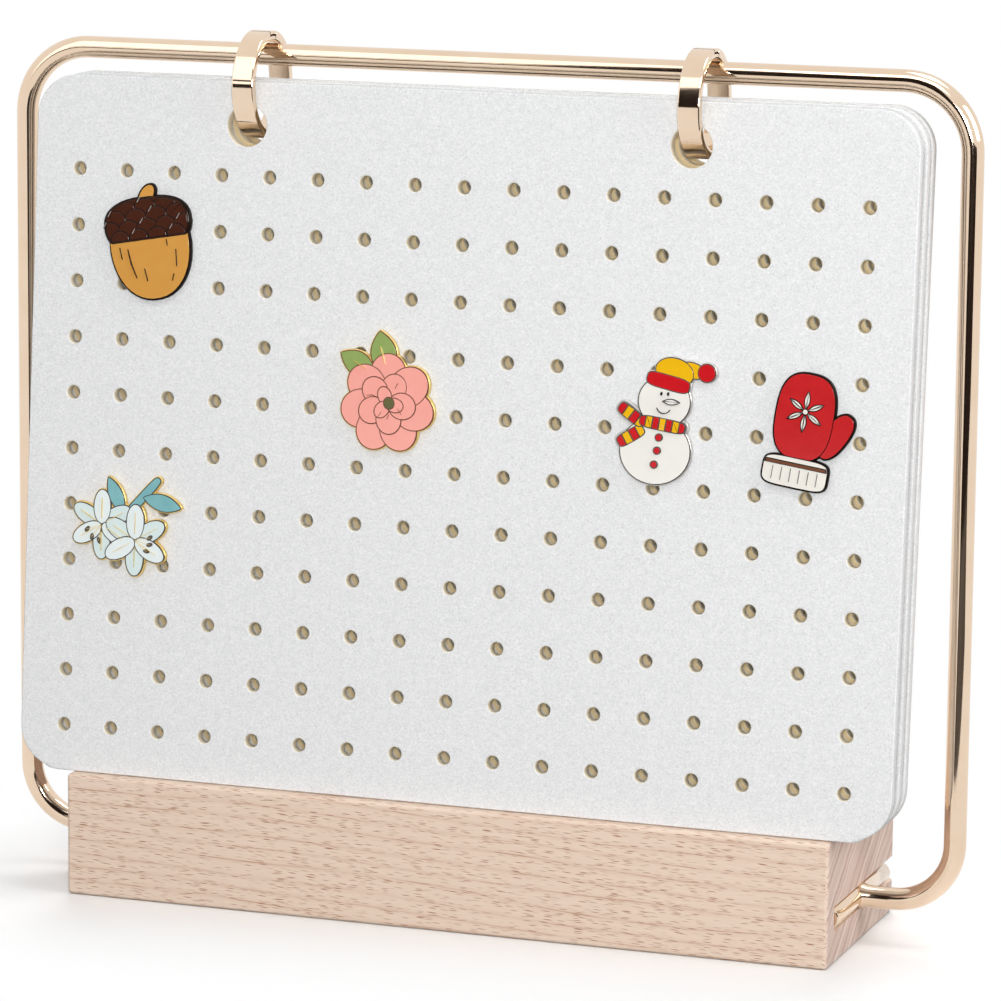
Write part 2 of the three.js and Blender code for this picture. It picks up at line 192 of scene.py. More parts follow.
def holeBloom(tree, place, full, reach):
    # 1 up to full millimetres from the edge of a pin or ring hole, fading to 0 at reach
    parts = addNode(tree, "SeparateXYZ", {0: place})
    rowReach = (page["rows"] - 1) / 2 * page["rowPitch"]
    columnReach = (page["columns"] - 1) / 2 * page["columnPitch"]
    grid = (("X", page["columnPitch"], columnReach, 0),
            ("Y", page["rowPitch"], rowReach, page["bottomMargin"] + rowReach))
    offsets = []
    for axis, pitch, lastHole, middle in grid:
        steps = addNode(tree, "Math", {0: parts.outputs[axis], 1: middle * mm}, operation="SUBTRACT")
        half = addNode(tree, "Math", {0: steps, 1: pitch / 2 * mm}, operation="PINGPONG")
        size = addNode(tree, "Math", {0: steps}, operation="ABSOLUTE")
        past = addNode(tree, "Math", {0: size, 1: lastHole * mm}, operation="SUBTRACT")
        offset = addNode(tree, "Math", {0: half, 1: past}, operation="MAXIMUM")
        offsets.append(offset)
    away = addNode(tree, "CombineXYZ", {0: offsets[0], 1: offsets[1]})
    pinAway = addNode(tree, "VectorMath", {0: away}, operation="LENGTH")
    mirrored = addNode(tree, "VectorMath", {0: place}, operation="ABSOLUTE")
    ringSpot = (ring["x"] * mm, (page["height"] - page["ringDrop"]) * mm, page["thickness"] / 2 * mm)
    ringAway = addNode(tree, "VectorMath", {0: mirrored, 1: ringSpot}, operation="DISTANCE")
    edges = []
    for distance, diameter in ((pinAway, page["hole"]), (ringAway, page["ringHole"])):
        edge = addNode(tree, "Math",
                       {0: distance.outputs["Value"], 1: diameter / 2 * mm}, operation="SUBTRACT")
        edges.append(edge)
    nearest = addNode(tree, "Math", {0: edges[0], 1: edges[1]}, operation="MINIMUM")
    bloom = addNode(tree, "MapRange",
                    {0: nearest, 1: full * mm, 2: reach * mm, 3: 1.0, 4: 0.0},
                    interpolation_type="SMOOTHSTEP")
    return bloom


# wool felt, pressed: off-white and matt, tangled fibres about 0.4 mm across that show as soft mottling
# a scorched sheet also shows the tan bloom that the laser leaves round each hole
def woolFelt(name, scorched):
    look = {"pale": "#f5f6f6", "shade": "#d7d8da", "fibre": 0.4, "fibreShare": 0.9, "clump": 1.8,
            "clumpShare": 0.13, "paleUnder": 0.36, "shadeOver": 0.69, "scorch": "#efd6a5", "scorchFull": 0.7,
            "scorchReach": 1.6, "roughness": 0.95, "sheen": 0.15, "sheenRoughness": 0.6, "bump": 0.35,
            "lift": 0.12}
    sockets = {"Roughness": look["roughness"], "IOR": 1.45, "Sheen Weight": look["sheen"],
               "Sheen Roughness": look["sheenRoughness"]}
    material, tree, shader = startMaterial(name, sockets)
    place = addNode(tree, "TexCoord").outputs["Object"]
    fibres = addNode(tree, "TexNoise",
                     {"Vector": place, "Scale": 1 / (look["fibre"] * mm), "Detail": 4.0, "Distortion": 1.2})
    clumps = addNode(tree, "TexNoise", {"Vector": place, "Scale": 1 / (look["clump"] * mm), "Detail": 3.0})
    mottle = addNode(tree, "Math", {0: fibres, 1: look["fibreShare"]}, operation="MULTIPLY")
    both = addNode(tree, "Math", {0: clumps, 1: look["clumpShare"], 2: mottle}, operation="MULTIPLY_ADD")
    spread = addNode(tree, "MapRange", {0: both, 1: look["paleUnder"], 2: look["shadeOver"]})
    colour = blendColours(tree, spread, linear(look["pale"]), linear(look["shade"]))
    if scorched:
        bloom = holeBloom(tree, place, look["scorchFull"], look["scorchReach"])
        colour = blendColours(tree, bloom, colour, linear(look["scorch"]))
    coat(tree, shader, look, colour, both)
    return material


# felt cut by laser: the wall of each hole is singed tan, darker in streaks through the thickness
def feltSinged():
    look = {"colour": "#f5f0e2", "other": "#e8d9b8", "cloud": 0.8, "detail": 3.0, "bump": 0.3, "lift": 0.1,
            "roughness": 0.9}
    return cloudedMaterial("woolFeltLaserSinged", look, {"IOR": 1.45})[0]


# hard enamel, fired and polished: glassy, with a faint cloudiness in the colour
def enamel(name, colour, deep):
    look = {"colour": colour, "other": deep, "cloud": 3.0, "detail": 2.0, "bump": 0.1, "lift": 0.02,
            "roughness": 0.08}
    return cloudedMaterial("hardEnamel" + name, look, {"IOR": 1.52})[0]


# rubber, moulded: near black, dull, a fine mould grain
def rubberMoulded():
    look = {"colour": "#2c2a29", "other": "#3b3937", "cloud": 0.3, "detail": 2.0, "bump": 0.2, "lift": 0.03,
            "roughness": 0.7}
    return cloudedMaterial("rubberMoulded", look, {"IOR": 1.52})[0]


# meshes: every maker below gives points in millimetres and faces, and makePiece turns them into an object

def makePiece(name, points, faces, materials, places=None, angle=35, matrix=None):
    mesh = bpy.data.meshes.new(name)
    mesh.from_pydata([Vector(p) * mm for p in points], [], faces)
    for material in materials:
        mesh.materials.append(material)
    if places:
        mesh.polygons.foreach_set("material_index", places)
    mesh.validate()
    smoothMesh(mesh, angle)
    piece = bpy.data.objects.new(name, mesh)
    bpy.context.scene.collection.objects.link(piece)
    if matrix:
        piece.matrix_world = matrix
    return piece


def smoothMesh(mesh, angle):
    mesh.set_sharp_from_angle(angle=math.radians(angle))
    # faces with many corners are the flat caps of a form
    mesh.polygons.foreach_set("use_smooth", [len(face.vertices) < 5 for face in mesh.polygons])
    mesh.update()


def loft(rings, start=0):
    # closed skin through rings of equal length, with both ends capped
    count = len(rings[0])
    points = [point for loop in rings for point in loop]
    faces = []
    for row in range(len(rings) - 1):
        low = start + row * count
        for i in range(count):
            j = (i + 1) % count
            faces.append((low + i, low + j, low + count + j, low + count + i))
    faces.append(tuple(start + i for i in reversed(range(count))))
    last = start + (len(rings) - 1) * count
    faces.append(tuple(last + i for i in range(count)))
    return points, faces


def joinShells(shells):
    points, faces = [], []
    for rings in shells:
        newPoints, newFaces = loft(rings, len(points))
        points += newPoints
        faces += newFaces
    return points, faces


def polar(x, y, radius, turn):
    angle = math.radians(turn)
    return x + radius * math.cos(angle), y + radius * math.sin(angle)


def roundRing(centre, first, second, radius, sides):
    turns = [2 * math.pi * k / sides for k in range(sides)]
    return [centre + radius * (math.cos(turn) * first + math.sin(turn) * second) for turn in turns]


# the wire: one bent tube, with a small weld bead where each leg meets its cross rod
wire = {"radius": 2.6, "legX": 115.8, "barZ": 199.354, "footX": 92.2, "footZ": 10.7, "topBend": 16,
        "bottomBend": 14, "bendSteps": 14, "sides": 32, "bead": 0.45, "beadStart": 1.2, "beadEnd": 2.4,
        "beadTaper": 1.0}


def wireTube():
    reaches = (wire["beadStart"], wire["beadEnd"], wire["beadEnd"] + wire["beadTaper"])
    path = [(-wire["footX"] - reach, wire["footZ"]) for reach in reaches]
    corners = ((-1, -1, "bottomBend", 270), (-1, 1, "topBend", 180), (1, 1, "topBend", 90),
               (1, -1, "bottomBend", 0))
    for side, up, bendName, begin in corners:
        radius = wire[bendName]
        x = side * (wire["legX"] - radius)
        z = wire["barZ"] - radius if up > 0 else wire["footZ"] + radius
        for step in range(wire["bendSteps"] + 1):
            path.append(polar(x, z, radius, begin - 90 * step / wire["bendSteps"]))
    path += [(-x, z) for x, z in reversed(path[:len(reaches)])]
    rings = []
    for i, (x, z) in enumerate(path):
        beforeX, beforeZ = path[max(i - 1, 0)]
        afterX, afterZ = path[min(i + 1, len(path) - 1)]
        along = Vector((afterX - beforeX, 0, afterZ - beforeZ)).normalized()
        outward = Vector((along.z, 0, -along.x))
        onBead = min(i, len(path) - 1 - i) < 2
        radius = wire["radius"] + (wire["bead"] if onBead else 0)
        rings.append(roundRing(Vector((x, 0, z)), outward, Vector((0, 1, 0)), radius, wire["sides"]))
    return joinShells([rings])


def rodRings(centre, axis, side, profile, sides):
    # turned form: profile pairs are (place along the axis, radius)
    third = axis.cross(side)
    return [roundRing(centre + axis * place, side, third, radius, sides) for place, radius in profile]


footRod = {"halfLength": 22.5, "chamfer": 0.35, "sides": 32}


def footRodShell(side):
    chamfer = footRod["chamfer"]
    easing = ((0, 1), (0.35, 0.35), (1, 0))  # shares of the chamfer along the rod and inwards
    profile = []
    for along, inward in easing:
        profile.append((-footRod["halfLength"] + chamfer * along, wire["radius"] - chamfer * inward))
    profile += [(-place, radius) for place, radius in reversed(profile)]
    centre = Vector((side * wire["footX"], 0, wire["footZ"]))
    return joinShells([rodRings(centre, Vector((0, 1, 0)), Vector((0, 0, 1)), profile, footRod["sides"])])


# the block: planed on all sides, edges eased, with a groove in each end that is open at the back
block = {"length": 187.6, "depth": 57, "height": 29.4, "edge": 0.9, "edgeSteps": 4, "grooveDeep": 4.5,
         "grooveFront": -22.8, "grooveHigh": 5.8}


def blockCells():
    # built from 3 x 2 x 3 boxes, leaving out the two that are the grooves
    xs = [-block["length"] / 2, -block["length"] / 2 + block["grooveDeep"]]
    xs += [-x for x in reversed(xs)]
    ys = [-block["depth"] / 2, block["grooveFront"], block["depth"] / 2]
    halfGroove = block["grooveHigh"] / 2
    zs = [0, wire["footZ"] - halfGroove, wire["footZ"] + halfGroove, block["height"]]

    def solid(i, j, k):
        inside = 0 <= i < 3 and 0 <= j < 2 and 0 <= k < 3
        return inside and not (i in (0, 2) and j == 1 and k == 1)

    index, points, faces, ends = {}, [], [], []

    def corner(i, j, k):
        if (i, j, k) not in index:
            index[(i, j, k)] = len(points)
            points.append((xs[i], ys[j], zs[k]))
        return index[(i, j, k)]

    def moved(cell, *moves):
        spot = list(cell)
        for axis, step in moves:
            spot[axis % 3] += step
        return spot

    for cell in product(range(3), range(2), range(3)):
        if not solid(*cell):
            continue
        for axis, high in product(range(3), (0, 1)):
            if solid(*moved(cell, (axis, 2 * high - 1))):
                continue
            loop = []
            for first, second in ((0, 0), (1, 0), (1, 1), (0, 1)):
                loop.append(corner(*moved(cell, (axis, high), (axis + 1, first), (axis + 2, second))))
            faces.append(tuple(loop if high else reversed(loop)))
            ends.append(1 if axis == 0 else 0)
    return points, faces, ends, (xs, ys, zs)


def makeBlock(materials):
    points, faces, ends, grid = blockCells()
    piece = makePiece("beechBlock", points, faces, materials, ends, angle=50)
    weights = piece.data.attributes.new("bevel_weight_edge", "FLOAT", "EDGE")
    limits = [(steps[0] * mm, steps[-1] * mm) for steps in grid]
    for edge in piece.data.edges:
        tips = [piece.data.vertices[v].co for v in edge.vertices]
        onSides = 0
        for axis in range(3):
            onSides += any(all(abs(tip[axis] - limit) < 1e-6 for tip in tips) for limit in limits[axis])
        weights.data[edge.index].value = 1.0 if onSides > 1 else 0.0  # eases the outer edges only
    bevel = piece.modifiers.new("easedEdges", "BEVEL")
    bevel.limit_method = "WEIGHT"
    bevel.width = block["edge"] * mm
    bevel.segments = block["edgeSteps"]
    bevel.harden_normals = True  # keeps the planed faces flat to the light
    return piece


# the rings: a flat band with eased edges, made of a hook and a gate that lap at the top and turn on a pin
ring = {"x": 54, "y": -3.568, "z": 192.643, "inner": 10.5, "outer": 12.6, "width": 5.3, "hinge": 123,
        "lap": 8.5, "gap": 0.3, "edge": 0.3, "flatRow": 0.08, "step": 3, "knuckle": 1.35, "knuckleEdge": 0.2,
        "knuckleSides": 20, "tongue": 1.7, "slot": 2.0, "overlap": 1}


def bandRings(stations, width, offset=0):
    # stations are (turn from the top towards the back, inner radius, outer radius)
    rings = []
    half = width / 2
    for turn, inner, outer in stations:
        edge = min(ring["edge"], (outer - inner) / 3)
        eased = edge * 0.3
        flat = half - edge - ring["flatRow"]  # this row keeps the broad faces flat to the light
        right = [(outer, flat), (outer, half - edge), (outer - eased, half - eased), (outer - edge, half),
                 (inner + edge, half), (inner + eased, half - eased), (inner, half - edge), (inner, flat)]
        section = [(radius, -x) for radius, x in reversed(right)] + right
        angle = math.radians(turn)
        sine, cosine = math.sin(angle), math.cos(angle)
        rings.append([(x + offset, radius * sine, radius * cosine) for radius, x in section])
    return rings


def arc(start, end, inner, outer):
    steps = max(2, round(abs(end - start) / ring["step"]))
    return [(start + (end - start) * i / steps, inner, outer) for i in range(steps + 1)]


def knuckleRings(width, offset):
    turn = math.radians(ring["hinge"])
    middle = (ring["inner"] + ring["outer"]) / 2
    centre = Vector((offset, middle * math.sin(turn), middle * math.cos(turn)))
    radius, edge, half = ring["knuckle"], ring["knuckleEdge"], width / 2
    profile = ((-half, radius - edge), (-half + edge, radius), (half - edge, radius), (half, radius - edge))
    return rodRings(centre, Vector((1, 0, 0)), Vector((0, 1, 0)), profile, ring["knuckleSides"])


def ringShells(part):
    inner, outer, gap, hinge = ring["inner"], ring["outer"], ring["gap"], ring["hinge"]
    middle = (inner + outer) / 2
    clear = math.degrees((ring["knuckle"] + gap) / middle)
    gapTurn = math.degrees(gap / middle)
    if part == "hook":
        lapStart, lapEnd = 360 - ring["lap"], 360 + ring["lap"]
        body = arc(hinge + clear, lapStart, inner, outer) + arc(lapStart, lapEnd, inner, middle - gap / 2)
        shells = [bandRings(body, ring["width"])]
        cheek = (ring["width"] - ring["slot"]) / 2
        cheekAt = ring["slot"] / 2 + cheek / 2
        fork = arc(hinge, hinge + clear + ring["overlap"], inner, outer)
        for side in (-1, 1):
            shells.append(bandRings(fork, cheek, side * cheekAt))
            shells.append(knuckleRings(cheek, side * cheekAt))
        return shells
    lapStart, lapEnd = gapTurn - ring["lap"], gapTurn + ring["lap"]
    body = arc(lapStart, lapEnd, middle + gap / 2, outer) + arc(lapEnd, hinge - clear, inner, outer)
    tongue = arc(hinge - clear - ring["overlap"], hinge, inner, outer)
    return [bandRings(body, ring["width"]), bandRings(tongue, ring["tongue"]),
            knuckleRings(ring["tongue"], 0)]


# the felt pages: flat sheets with eased edges, the grid of pin holes and two ring holes
# the pin holes are cut 3.6 mm wide, and the fuzz at their edge closes them to about 3.15 mm for the eye
page = {"width": 214.4, "height": 164.6, "corner": 10, "thickness": 3, "columns": 17, "rows": 11,
        "columnPitch": 12, "rowPitch": 13.2, "bottomMargin": 10.6, "hole": 3.15, "holeSides": 28,
        "ringHole": 9.73, "ringHoleSides": 48, "ringDrop": 10.2, "edge": 0.3, "lean": 4.8, "cornerSteps": 12,
        "outerRim": 4.6, "settle": 0.15}
pageStack = {"front": {"middle": -7.2, "bottom": -163.995}, "middle": {"middle": -1.2, "bottom": -163.492},
             "back": {"middle": 3.8, "bottom": -163.072}}
stackPlace = Matrix.Translation(Vector((0, ring["y"], ring["z"])) * mm)
stackFrame = stackPlace @ Matrix.Rotation(-math.radians(page["lean"]), 4, "X")
upright = Matrix.Rotation(math.pi / 2, 4, "X")  # drawn flat, then stood up to face the front


def circle(x, y, diameter, sides):
    return [polar(x, y, diameter / 2, 360 * k / sides) for k in range(sides)]


def pageLoops():
    outline = []
    radius = page["corner"]
    corners = ((1, 0, -90), (1, 1, 0), (-1, 1, 90), (-1, 0, 180))
    for side, top, begin in corners:
        x = side * (page["width"] / 2 - radius)
        y = page["height"] - radius if top else radius
        for step in range(page["cornerSteps"] + 1):
            outline.append(polar(x, y, radius, begin + 90 * step / page["cornerSteps"]))
    loops = [outline]
    for row, column in product(range(page["rows"]), range(page["columns"])):
        x = (column - (page["columns"] - 1) / 2) * page["columnPitch"]
        y = page["bottomMargin"] + row * page["rowPitch"]
        loops.append(circle(x, y, page["hole"], page["holeSides"]))
    for side in (-1, 1):
        y = page["height"] - page["ringDrop"]
        loops.append(circle(side * ring["x"], y, page["ringHole"], page["ringHoleSides"]))
    return loops


def settle(mesh):
    # felt gives where the leaning page stands on the block, so its lower edge lies flat there
    for vertex in mesh.vertices:
        if vertex.co.y < 2 * page["edge"] * mm:
            ahead = vertex.co.z + page["thickness"] / 2 * mm
            vertex.co.y -= page["settle"] * mm + ahead * math.tan(math.radians(page["lean"]))


def pageFaceKind(face):
    # 0 front, 1 back and outer rim, 2 the walls of the holes
    if face.normal.z > 0.8:
        return 0
    fromSide = page["width"] / 2 * mm - abs(face.center.x)
    fromRim = min(fromSide, face.center.y, page["height"] * mm - face.center.y)
    return 1 if face.normal.z < -0.8 or fromRim < page["outerRim"] * mm else 2


def makePage(name, place, materials):
    curve = bpy.data.curves.new(name + "Cut", "CURVE")
    curve.dimensions = "2D"
    curve.fill_mode = "BOTH"
    curve.extrude = (page["thickness"] / 2 - page["edge"]) * mm
    curve.bevel_depth = page["edge"] * mm
    curve.bevel_resolution = 1
    curve.offset = -page["edge"] * mm
    for loop in pageLoops():
        spline = curve.splines.new("POLY")
        spline.points.add(len(loop) - 1)
        spline.points.foreach_set("co", [c for x, y in loop for c in (x * mm, y * mm, 0, 1)])
        spline.use_cyclic_u = True
    cut = bpy.data.objects.new(name + "Cut", curve)
    bpy.context.scene.collection.objects.link(cut)
    bpy.context.view_layer.update()
    mesh = bpy.data.meshes.new_from_object(cut.evaluated_get(bpy.context.evaluated_depsgraph_get()))
    bpy.data.objects.remove(cut)
    mesh.materials.clear()
    for material in materials:
        mesh.materials.append(material)
    mesh.polygons.foreach_set("material_index", [pageFaceKind(face) for face in mesh.polygons])
    smoothMesh(mesh, 50)
    mesh.polygons.foreach_set("use_smooth", [abs(face.normal.z) < 0.99 for face in mesh.polygons])
    settle(mesh)
    piece = bpy.data.objects.new(name, mesh)
    bpy.context.scene.collection.objects.link(piece)
    spot = Vector((0, pageStack[place]["middle"], pageStack[place]["bottom"])) * mm
    piece.matrix_world = stackFrame @ Matrix.Translation(spot) @ upright
    return piece


# badge outlines, in millimetres on the badge's own plane

def placed(x, y, turn, along, across):
    # point of a form that stands at (x, y) and is turned by turn degrees
    cosine, sine = math.cos(math.radians(turn)), math.sin(math.radians(turn))
    return x + along * cosine - across * sine, y + along * sine + across * cosine


def oval(x, y, halfWidth, halfHeight, turn=0, power=2, sides=44):
    def bulge(value):
        return math.copysign(abs(value) ** (2 / power), value)

    outline = []
    for k in range(sides):
        angle = 2 * math.pi * (k + 0.5) / sides
        along = halfWidth * bulge(math.cos(angle))
        across = halfHeight * bulge(math.sin(angle))
        outline.append(placed(x, y, turn, along, across))
    return outline


def leaf(x, y, halfLength, halfWidth, turn, steps=12):
    outline = []
    for k in range(4 * steps):
        side = 1 if k < 2 * steps else -1
        share = side * (1 - (k % (2 * steps)) / steps)
        across = side * halfWidth * (1 - share * share)
        outline.append(placed(x, y, turn, share * halfLength, across))
    return outline


def wheel(count, x, y, reach, halfLength, halfWidth, start=90):
    turns = [start + 360 * k / count for k in range(count)]
    return [oval(*polar(x, y, reach, turn), halfLength, halfWidth, turn) for turn in turns]


def clip(outline, edgeX, edgeY, turn):
    # keeps the part of a convex outline to the left of the line through (edgeX, edgeY) along turn
    dx, dy = polar(0, 0, 1, turn)
    kept = []
    for k, (x, y) in enumerate(outline):
        lastX, lastY = outline[k - 1]
        here = dx * (y - edgeY) - dy * (x - edgeX)
        before = dx * (lastY - edgeY) - dy * (lastX - edgeX)
        if here * before < 0:
            share = before / (before - here)
            kept.append((lastX + (x - lastX) * share, lastY + (y - lastY) * share))
        if here >= 0:
            kept.append((x, y))
    return kept


def clipTo(outline, window):
    for k, (x, y) in enumerate(window):
        nextX, nextY = window[(k + 1) % len(window)]
        if len(outline) < 3:
            return outline
        outline = clip(outline, x, y, math.degrees(math.atan2(nextY - y, nextX - x)))
    return outline


def slices(outline, x, y, turn, count, length):
    # cuts a convex outline into count strips across the direction turn
    strips = []
    for k in range(count):
        low = -length / 2 + length * k / count
        high = low + length / count
        strip = outline if k == 0 else clip(outline, *polar(x, y, low, turn), turn - 90)
        strip = strip if k == count - 1 else clip(strip, *polar(x, y, high, turn), turn + 90)
        strips.append(strip)
    return strips


def grown(outline, by):
    moved = []
    count = len(outline)
    for k in range(count):
        before, here, after = (Vector(outline[(k + d) % count]) for d in (-1, 0, 1))
        first = (here - before).normalized() if (here - before).length > 1e-6 else Vector((0, 0))
        second = (after - here).normalized() if (after - here).length > 1e-6 else Vector((0, 0))
        along = first + second
        if along.length < 1e-6:
            along = Vector((-first.y, first.x)) * 2
        along.normalize()
        moved.append((here.x + along.y * by, here.y - along.x * by))
    return moved


def slab(outline, low, high, edge):
    # flat form between two heights, with its front edge eased in three steps
    rings = [[(x, y, low) for x, y in outline], [(x, y, high - edge) for x, y in outline]]
    for step in (1, 2, 3):
        turn = step * math.pi / 6
        eased = grown(outline, -edge * (1 - math.cos(turn)))
        rings.append([(x, y, high - edge + edge * math.sin(turn)) for x, y in eased])
    return rings


def stroke(points, width, low, high):
    # narrow raised line along points, with thinner ends
    rings = []
    for k, point in enumerate(points):
        before, after = Vector(points[max(k - 1, 0)]), Vector(points[min(k + 1, len(points) - 1)])
        along = (after - before).normalized()
        half = width / 2 * (0.45 if k in (0, len(points) - 1) else 1)
        aside = Vector((-along.y, along.x)) * half
        left, right = Vector(point) + aside, Vector(point) - aside
        rings.append([(*left, low), (*left, high), (*right, high), (*right, low)])
    return rings


def curveLine(x, y, radius, start, end, steps=10):
    return [polar(x, y, radius, start + (end - start) * k / steps) for k in range(steps + 1)]


# heights count from the leaning plane through the ring centres
badgePlate = {"back": 9.0, "lineRoot": 9.3, "base": 10.05, "line": 10.2, "fill": 0.012, "step": 0.02,
              "strokeLift": 0.03, "rim": 0.5, "reach": 0.3, "inset": 0.2, "edge": 0.1, "rimEdge": 0.15,
              "lineEdge": 0.06}


def makeBadge(name, spot, tilt, metal, lineMetal, backing, pads, lines):
    # backing outlines make the struck plate; pads are (outline, enamel); lines are (points, width, material)
    materials = [metal, lineMetal]
    points, faces, places = [], [], []

    def lay(rings, material):
        if material not in materials:
            materials.append(material)
        newPoints, newFaces = loft(rings, len(points))
        points.extend(newPoints)
        faces.extend(newFaces)
        places.extend([materials.index(material)] * len(newFaces))

    size = badgePlate
    for k, outline in enumerate(backing):
        top = size["base"] + k * size["step"] / 4
        lay(slab(grown(outline, size["rim"]), size["back"], top, size["rimEdge"]), metal)
    for k, (outline, fill) in enumerate(pads):
        top = size["line"] + k * size["step"]
        outline = grown(outline, size["reach"]) if outline in backing else outline
        lay(slab(outline, size["lineRoot"], top, size["lineEdge"]), lineMetal)
        lay(slab(grown(outline, -size["inset"]), size["base"], top + size["fill"], size["edge"]), fill)
    top = size["line"] + len(pads) * size["step"] + size["strokeLift"]
    for line, width, material in lines:
        lay(stroke(line, width, size["base"], top), material)
    x = (spot[0] - (page["columns"] - 1) / 2) * page["columnPitch"]
    z = pageStack["front"]["bottom"] + page["bottomMargin"] + (page["rows"] - 1 - spot[1]) * page["rowPitch"]
    matrix = stackFrame @ Matrix.Translation(Vector((x, 0, z)) * mm) @ upright
    matrix = matrix @ Matrix.Rotation(math.radians(tilt), 4, "Z")
    return makePiece(name, points, faces, materials, places, angle=40, matrix=matrix)


# camera fitted to the photograph: lengths in millimetres, focal length in pixels
view = {"focal": 4986.06, "azimuth": 19.354, "elevation": 10.226, "roll": 0.545, "distance": 1165.59,
        "aimX": 4.656, "aimZ": 97.265, "imageWidth": 1001, "sensor": 36, "near": 50, "far": 50000}


def makeCamera():
    data = bpy.data.cameras.new("camera")
    data.sensor_width = view["sensor"]
    data.lens = view["focal"] / view["imageWidth"] * view["sensor"]
    data.clip_start = view["near"] * mm
    data.clip_end = view["far"] * mm
    camera = bpy.data.objects.new("camera", data)
    bpy.context.scene.collection.objects.link(camera)
    azimuth, elevation, roll = (math.radians(view[key]) for key in ("azimuth", "elevation", "roll"))
    level = math.cos(elevation)
    back = Vector((math.sin(azimuth) * level, -math.cos(azimuth) * level, math.sin(elevation)))
    right = Vector((math.cos(azimuth), math.sin(azimuth), 0))
    up = back.cross(right)
    rolledRight = math.cos(roll) * right + math.sin(roll) * up
    rolledUp = -math.sin(roll) * right + math.cos(roll) * up
    where = (Vector((view["aimX"], 0, view["aimZ"])) + back * view["distance"]) * mm
    rows = [[rolledRight[i], rolledUp[i], back[i], where[i]] for i in range(3)] + [[0, 0, 0, 1]]
    camera.matrix_world = Matrix(rows)
    bpy.context.scene.camera = camera


makeCamera()
print("camera set")


# finishes
beech = beechPlanedOiled()
beechEnd = beechEndGrain()
champagneGold = metalPlated("champagneGoldPlatedPolished", "#ecd6bf", "#e4cbb0", 0.07, 6.0, 0.004)
felt = woolFelt("woolFeltPressed", False)
feltBloomed = woolFelt("woolFeltPressedBloomed", True)
singed = feltSinged()
brassStruck = metalPlated("brassStruckGoldPlated", "#f0d78f", "#e3bf6c", 0.28)
brassLine = metalPlated("brassStruckToned", "#7d5140", "#694336", 0.45)
blackNickel = metalPlated("steelStruckBlackNickel", "#241c19", "#181210", 0.4)
silverStruck = metalPlated("zincStruckSilverPlated", "#d9d6d2", "#c4c0bc", 0.3)
greyLine = metalPlated("zincStruckToned", "#5f5a56", "#4a4643", 0.4)
nickelDrawn = metalPlated("steelDrawnNickelPlated", "#cfccc6", "#bfbbb4", 0.22)
rubber = rubberMoulded()

# the frame pieces
beechBlock = makeBlock([beech, beechEnd])
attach(beechBlock, "base")
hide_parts("base_block")

tube = makePiece("goldWire", *wireTube(), [champagneGold], angle=60)
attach(tube, "frame")
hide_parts("wire_frame")
for side, word in ((-1, "left"), (1, "right")):
    rod = makePiece(word + "CrossRod", *footRodShell(side), [champagneGold], angle=30)
    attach(rod, "frame")
    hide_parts(word + "_foot_rod")
    spot = Matrix.Translation(Vector((side * ring["x"], ring["y"], ring["z"])) * mm)
    hookShells = joinShells(ringShells("hook"))
    hook = makePiece(word + "RingHook", *hookShells, [champagneGold], angle=25, matrix=spot)
    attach(hook, word + "_ring")
    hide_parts(word + "_ring_hook")
    gateShells = joinShells(ringShells("gate"))
    gate = makePiece(word + "RingGate", *gateShells, [champagneGold], angle=25, matrix=spot)
    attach(gate, word + "_gate")
    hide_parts(word + "_ring_gate")
print("block, wire and rings made")

# the pages
pageArea = page["width"] * page["height"] - (4 - math.pi) * page["corner"] ** 2
pageArea -= page["columns"] * page["rows"] * math.pi * page["hole"] ** 2 / 4
pageArea -= 2 * math.pi * page["ringHole"] ** 2 / 4
for place, front in (("front", felt), ("middle", feltBloomed), ("back", feltBloomed)):
    sheet = makePage(place + "FeltPage", place, [front, felt, singed])
    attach(sheet, place + "_page")
    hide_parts("page_" + place)
print("felt pages cut")


# the acorn: ochre nut with a few scratched lines, scaled brown cap; pale silver strokes on the upper left of
# some scales are painted glints
def acornBadge():
    ochre = enamel("Ochre", "#dea352", "#d89a49")
    brown = enamel("Bark", "#4f2a1d", "#432318")
    nut = clip(oval(0, 0.4, 9.9, 13.2, 0, 2.15), 0, 1.2, 180)
    cap = oval(0, 4.8, 10.6, 6, 0, 2.5)
    stem = oval(0.7, 11.3, 1.5, 2.7, -40)
    dome = clip(grown(cap, badgePlate["reach"]), 0, 1.0, 0)
    pads = [(stem, ochre), (nut, ochre), (dome, brown)]
    paintedGlints = []
    rowsOfScales = ((8.9, 3, 5.2, 2.7), (6.4, 4, 5.2, 2.75), (3.9, 5, 4.7, 2.7), (1.9, 4, 4.8, 2.4))
    for y, count, spread, size in rowsOfScales:
        for k in range(count):
            x = (k - (count - 1) / 2) * spread
            scale = clipTo(oval(x, y, size, size * 0.86), grown(dome, -0.35))
            if len(scale) > 4:
                pads.append((scale, brown))
                # a pale stroke on the upper left of the scale: a painted glint
                paintedGlints.append([(x - size * 0.62, y + size * 0.42), (x - size * 0.28, y + size * 0.86)])
    # every other scale gets its painted glint, laid as a silver metal stroke
    lines = [(line, 0.28, silverStruck) for line in paintedGlints[1::2]]
    scratches = (((-7.6, 0), (-7.3, -2.8)), ((-5.6, -0.6), (-5.2, -4), (-4.2, -7.6)),
                 ((-2, -5.6), (-1.6, -8.6)), ((4.4, 0.6), (4.5, -1)), ((6.5, -2), (6.2, -6)),
                 ((5.2, -7.6), (4.6, -9.2)))
    lines += [(line, 0.26, blackNickel) for line in scratches]
    return makeBadge("acornBadgePlate", (1.585, 1.27), 10, blackNickel, blackNickel, [nut, cap, stem],
                     pads, lines)


